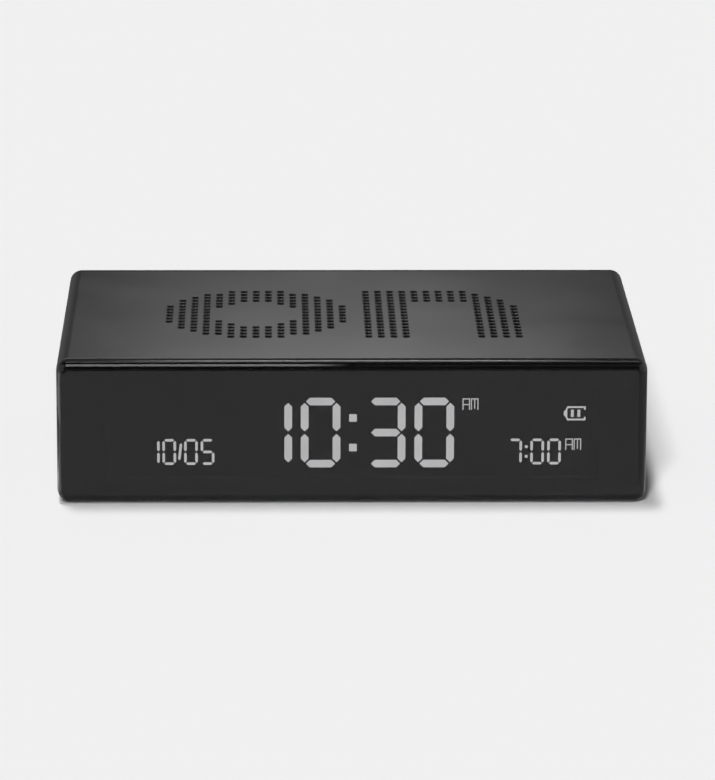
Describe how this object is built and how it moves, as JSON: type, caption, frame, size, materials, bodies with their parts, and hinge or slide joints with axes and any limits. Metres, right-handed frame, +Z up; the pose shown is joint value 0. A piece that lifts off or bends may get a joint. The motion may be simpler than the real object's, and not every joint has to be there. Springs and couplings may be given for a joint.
{
  "type": "digital alarm clock",
  "caption": "Flat reversible bedside clock: aluminium sleeve, smoked front lens over a segment display, rear push buttons and charging socket; it lies on either large face.",
  "frame": {"origin": "centre of the footprint, on the surface that the clock lies on", "axes": "+Z up through the face marked on, -Y towards the display, +X to the right as seen from the front"},
  "size_m": [0.16, 0.107, 0.04],
  "materials": {
    "graphite_aluminium": "satin anodised, dark grey",
    "smoked_acrylic": "gloss, smoked",
    "black_plastic": "fine matt",
    "button_plastic": "matt",
    "tray_plastic": "moulded",
    "white_plastic": "moulded",
    "foam": "closed-cell foam",
    "mesh_cloth": "fine woven mesh",
    "display_glass": "polished",
    "white_film": "film",
    "clear_acrylic": "polished",
    "contact_rubber": "matt",
    "circuit_board": "solder mask",
    "steel": "zinc plated",
    "spring_brass": "bright",
    "battery_foil": "foil",
    "magnet_steel": "zinc plated",
    "cone_paper": "pulp",
    "surround_rubber": "matt",
    "lead_rubber": "insulation",
    "ribbon_film": "film"
  },
  "bodies": {
    "case": {"acoustic_mesh_bottom": "mesh_cloth", "acoustic_mesh_top": "mesh_cloth", "battery_lead": "lead_rubber", "battery_pack": "battery_foil", "battery_pad": "foam", "board_screw_1": "steel", "board_screw_2": "steel", "button_board": "circuit_board", "button_board_screw_1": "steel", "button_board_screw_2": "steel", "button_ribbon": "ribbon_film", "chassis": "tray_plastic", "cover_screw_1": "steel", "cover_screw_2": "steel", "cover_screw_3": "steel", "cover_screw_4": "steel", "diffuser_sheet": "white_film", "display_board": "circuit_board", "display_ribbon": "ribbon_film", "elastomer_strip": "contact_rubber", "frame_screw_1": "steel", "frame_screw_2": "steel", "frame_screw_3": "steel", "frame_screw_4": "steel", "front_frame": "black_plastic", "front_lens": "smoked_acrylic", "lcd_panel": "display_glass", "led_bar": "white_film", "lens_seal": "foam", "light_guide": "clear_acrylic", "main_board": "circuit_board", "rear_cover": "black_plastic", "reflector_sheet": "white_film", "sleeve": "graphite_aluminium", "speaker_basket": "tray_plastic", "speaker_gasket": "foam", "speaker_lead": "lead_rubber", "speaker_magnet": "magnet_steel", "speaker_screw_1": "steel", "speaker_screw_2": "steel", "speaker_surround": "surround_rubber", "tact_switch_1": "black_plastic", "tact_switch_2": "black_plastic", "tact_switch_3": "black_plastic", "tact_switch_4": "black_plastic", "tilt_sensor_can": "steel", "touch_spring": "spring_brass", "usb_socket": "steel"},
    "time_button": {"time_button": "button_plastic", "time_button_plunger": "white_plastic"},
    "alarm_button": {"alarm_button": "button_plastic", "alarm_button_plunger": "white_plastic"},
    "minus_button": {"minus_button": "button_plastic", "minus_button_plunger": "white_plastic"},
    "plus_button": {"plus_button": "button_plastic", "plus_button_plunger": "white_plastic"},
    "speaker_cone": {"speaker_cone": "cone_paper"},
    "tilt_ball": {"tilt_ball": "steel"}
  },
  "joints": [
    {"name": "time_button_press", "type": "slide", "parent": "case", "child": "time_button", "axis": [0, -1, 0], "range_m": [0, 0.0005], "stiffness_N_per_m": 2500, "springref_m": -0.0001},
    {"name": "alarm_button_press", "type": "slide", "parent": "case", "child": "alarm_button", "axis": [0, -1, 0], "range_m": [0, 0.0005], "stiffness_N_per_m": 2500, "springref_m": -0.0001},
    {"name": "minus_button_press", "type": "slide", "parent": "case", "child": "minus_button", "axis": [0, -1, 0], "range_m": [0, 0.0005], "stiffness_N_per_m": 2500, "springref_m": -0.0001},
    {"name": "plus_button_press", "type": "slide", "parent": "case", "child": "plus_button", "axis": [0, -1, 0], "range_m": [0, 0.0005], "stiffness_N_per_m": 2500, "springref_m": -0.0001},
    {"name": "cone_travel", "type": "slide", "parent": "case", "child": "speaker_cone", "axis": [0, 0, 1], "range_m": [-0.0006, 0.0006], "stiffness_N_per_m": 800},
    {"name": "tilt_ball_drop", "type": "slide", "parent": "case", "child": "tilt_ball", "axis": [0, 0, 1], "range_m": [0, 0.0021]}
  ]
}
